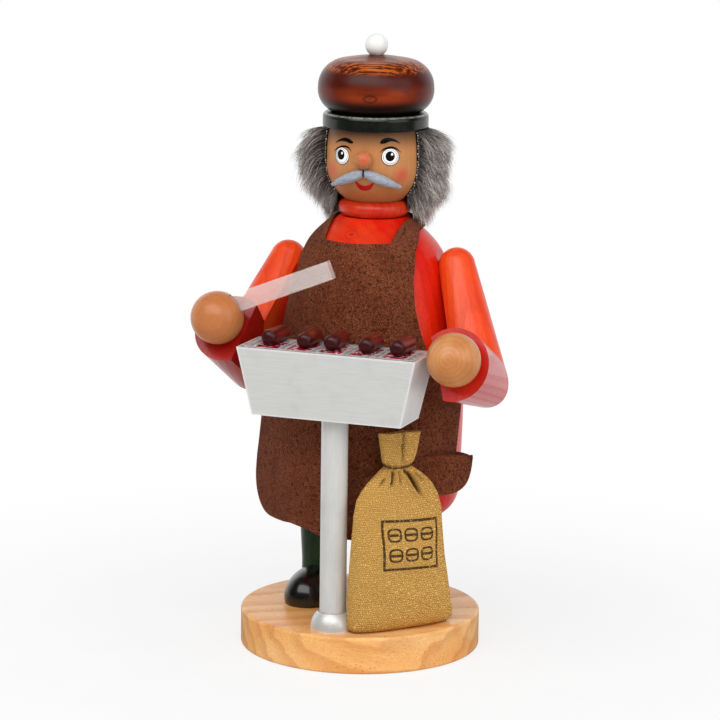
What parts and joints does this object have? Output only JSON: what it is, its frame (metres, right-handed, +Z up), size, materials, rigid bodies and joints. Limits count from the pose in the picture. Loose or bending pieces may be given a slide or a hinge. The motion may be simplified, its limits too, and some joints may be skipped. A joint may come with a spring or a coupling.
{
  "type": "german incense smoker",
  "caption": "Turned wooden incense smoker shaped as a cook in a felt apron behind a small grill; the hollow figure lifts off its legs so that an incense cone can be set on the plate inside.",
  "frame": {"origin": "centre of the base disc's underside", "axes": "+Z up, -Y the way the figure faces, +X towards the figure's own left hand"},
  "size_m": [0.1345, 0.1088, 0.2672],
  "materials": {
    "base_wood": "pale clear-varnished wood with open grain",
    "black_lacquer": "gloss black lacquer",
    "green_stain": "dark green stain, satin",
    "plain_wood": "plain sanded wood",
    "plate_metal": "thin stamped sheet",
    "nail_metal": "steel nail",
    "silver_paint": "silver paint brushed on wood",
    "ember_paint": "painted red, pink and white embers",
    "sausage_lacquer": "gloss red-brown lacquer",
    "burlap": "mustard burlap",
    "twine": "waxed twine",
    "red_stain": "bright red-orange stain, satin varnish",
    "face_wood": "tan stain, satin varnish",
    "nose_wood": "reddish stain, satin varnish",
    "moustache_paint": "pale grey-blue paint",
    "fur": "grey-taupe fur on a pelt strip",
    "cap_wood": "mahogany stain, gloss varnish",
    "white_lacquer": "gloss white lacquer",
    "sleeve_stain": "deeper red stain, satin varnish",
    "hand_wood": "honey stain, satin varnish",
    "clear_plastic": "clear bent plastic strip",
    "felt": "dark brown wool felt"
  },
  "bodies": {
    "stand": {"base_disc": "base_wood", "right_shoe": "black_lacquer", "left_shoe": "black_lacquer", "right_leg": "green_stain", "left_leg": "green_stain", "right_leg_dowel": "plain_wood", "left_leg_dowel": "plain_wood", "hip_disc": "plain_wood", "incense_plate": "plate_metal", "plate_nail": "nail_metal", "grill_post": "silver_paint", "grill_post_foot": "silver_paint", "grill_box": "silver_paint", "ember_panel": "ember_paint", "grill_grate": "silver_paint", "sausage_1": "sausage_lacquer", "sausage_2": "sausage_lacquer", "sausage_3": "sausage_lacquer", "sausage_4": "sausage_lacquer", "sausage_5": "sausage_lacquer", "charcoal_sack": "burlap", "sack_tie": "twine"},
    "figure": {"coat": "red_stain", "collar": "red_stain", "neck_tube": "plain_wood", "head": "face_wood", "nose": "nose_wood", "moustache_left": "moustache_paint", "moustache_right": "moustache_paint", "hair": "fur", "hat_brim": "black_lacquer", "hat_crown": "cap_wood", "hat_pompom": "white_lacquer", "hat_dowel": "plain_wood", "right_upper_arm": "red_stain", "left_upper_arm": "red_stain", "right_forearm": "sleeve_stain", "left_forearm": "sleeve_stain", "right_hand": "hand_wood", "left_hand": "hand_wood", "right_shoulder_dowel": "plain_wood", "left_shoulder_dowel": "plain_wood", "right_wrist_dowel": "plain_wood", "left_wrist_dowel": "plain_wood", "tongs": "clear_plastic", "apron": "felt"}
  },
  "joints": [
    {"name": "figure_lift", "type": "slide", "parent": "stand", "child": "figure", "axis": [0, 0, 1], "range_m": [0, 0.11]}
  ]
}
